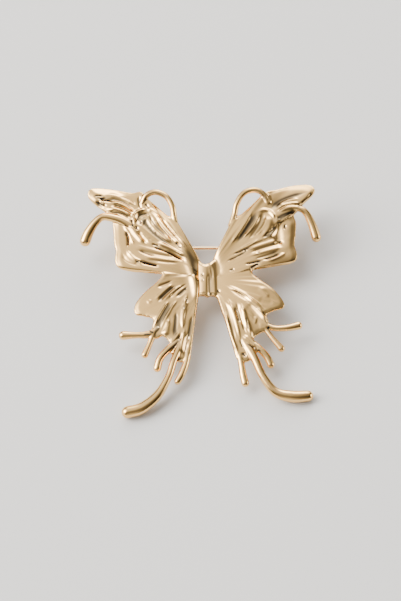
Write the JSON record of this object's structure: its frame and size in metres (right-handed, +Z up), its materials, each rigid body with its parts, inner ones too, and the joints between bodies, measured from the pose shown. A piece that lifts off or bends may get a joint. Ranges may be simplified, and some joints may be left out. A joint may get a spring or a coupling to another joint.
{
  "type": "butterfly brooch",
  "caption": "Cast gold-tone butterfly brooch with folded wings, looped strands, dripping edges and tails, and a hinged pin on its back.",
  "frame": {"origin": "centre of the bounding box's base, on the surface that the brooch lies on", "axes": "+Z up, out of the brooch's face; +Y from the tails to the upper wings; +X to the right as seen from the face"},
  "size_m": [0.0578, 0.0578, 0.0124],
  "materials": {
    "cast_gold": "high-polish pale champagne gold plating on a cast metal",
    "finding_gold": "polished gold plating on wire and sheet"
  },
  "bodies": {
    "brooch": {"butterfly": "cast_gold", "pin_joint": "finding_gold", "joint_rivet": "finding_gold", "catch": "finding_gold"},
    "pin": {"pin_stem": "finding_gold"}
  },
  "joints": [
    {"name": "stem_swing", "type": "hinge", "parent": "brooch", "child": "pin", "pos_m": [-0.01186, 0.01686, 0.00125], "axis": [0, 0.9916, 0.1291], "range_deg": [0, 100]}
  ]
}
